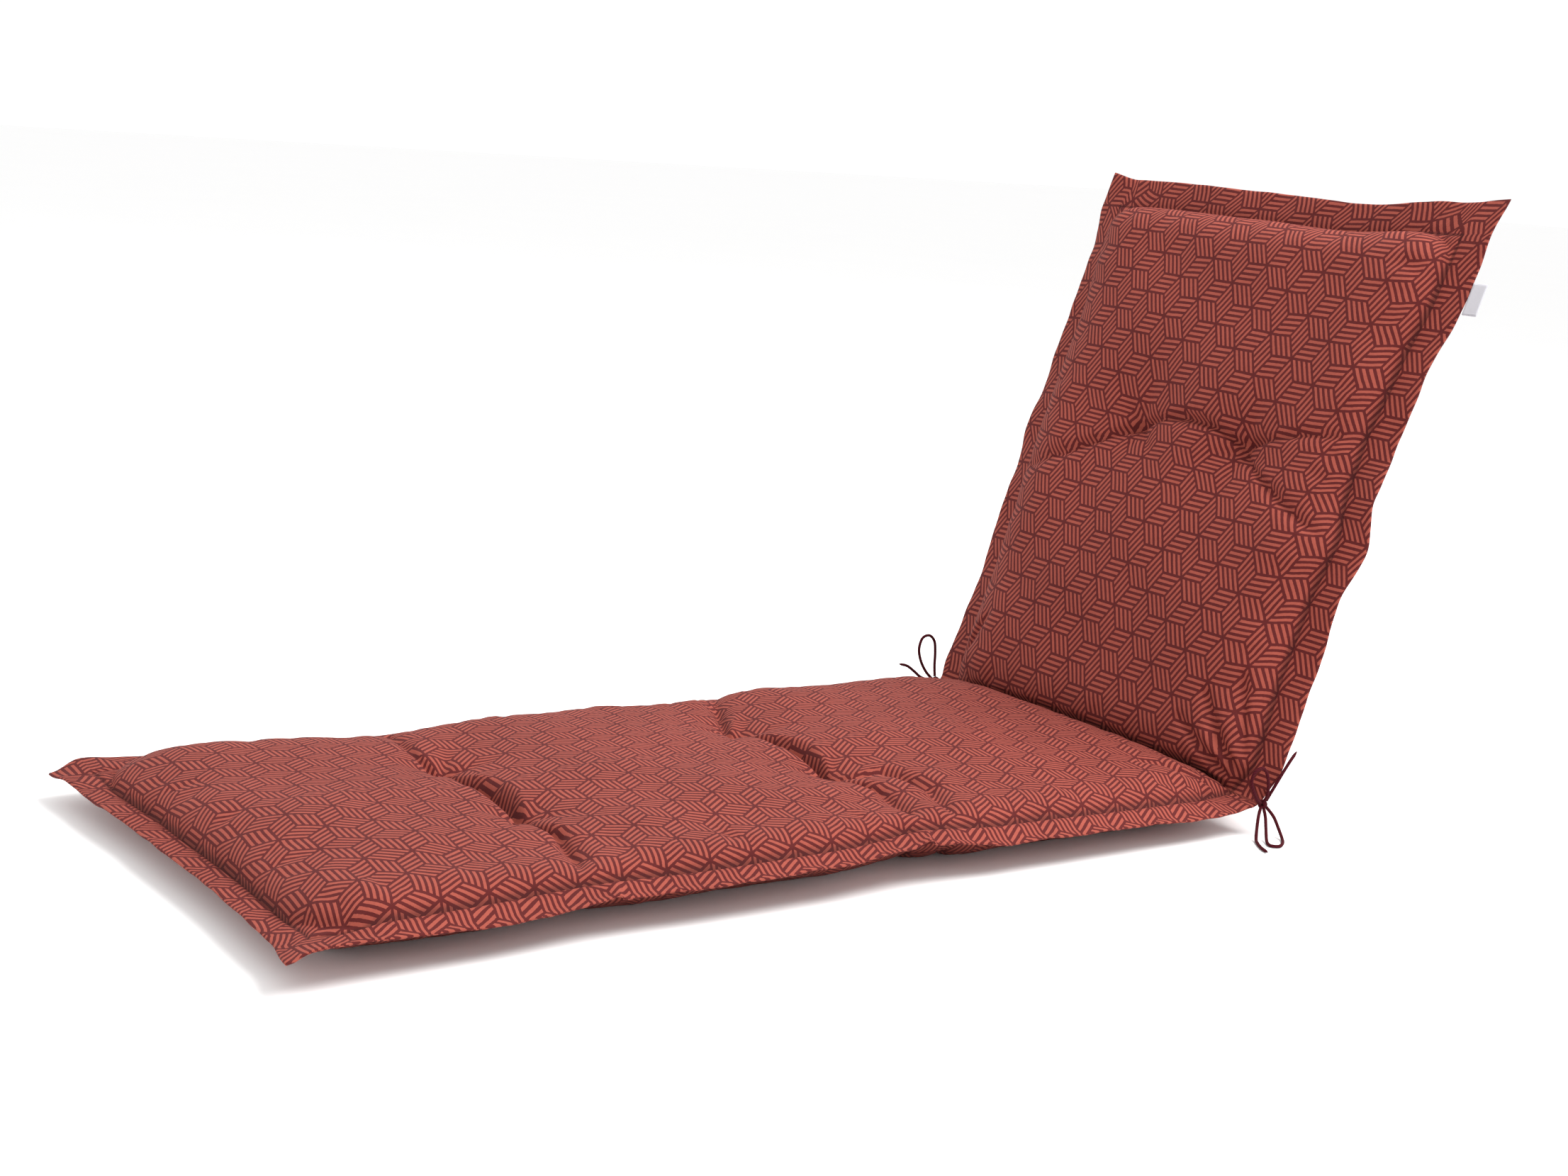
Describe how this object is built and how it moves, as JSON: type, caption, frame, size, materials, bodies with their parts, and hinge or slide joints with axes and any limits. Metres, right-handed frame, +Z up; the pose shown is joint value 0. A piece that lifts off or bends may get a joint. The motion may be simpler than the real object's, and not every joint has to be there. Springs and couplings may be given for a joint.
{
  "type": "sun lounger cushion",
  "caption": "Long padded cushion for a reclining sun lounger, bent at the hinge, with a flat sewn border, tufts, bow ties and a side tag.",
  "frame": {"origin": "centre of the box that the cushion and its tag fill, at the floor under the seat part", "axes": "+X along the length from the foot edge to the raised back, +Y across to the far side, the side without the tag, +Z up"},
  "size_m": [1.4109, 0.6997, 0.7013],
  "materials": {
    "printed_cloth": "woven cotton and polyester, printed with striped rhombs in two reds, matt with a faint sheen",
    "tie_cord": "thin woven cord, dark wine red, matt",
    "tag_tape": "smooth white satin tape, bare"
  },
  "bodies": {
    "root": {"cushion": "printed_cloth", "near_tie_knot": "tie_cord", "near_tie_upper_loop": "tie_cord", "near_tie_upper_end": "tie_cord", "near_tie_lower_loop": "tie_cord", "near_tie_lower_end": "tie_cord", "far_tie_knot": "tie_cord", "far_tie_upper_loop": "tie_cord", "far_tie_upper_end": "tie_cord", "far_tie_lower_loop": "tie_cord", "far_tie_lower_end": "tie_cord", "side_tag": "tag_tape"}
  },
  "joints": []
}
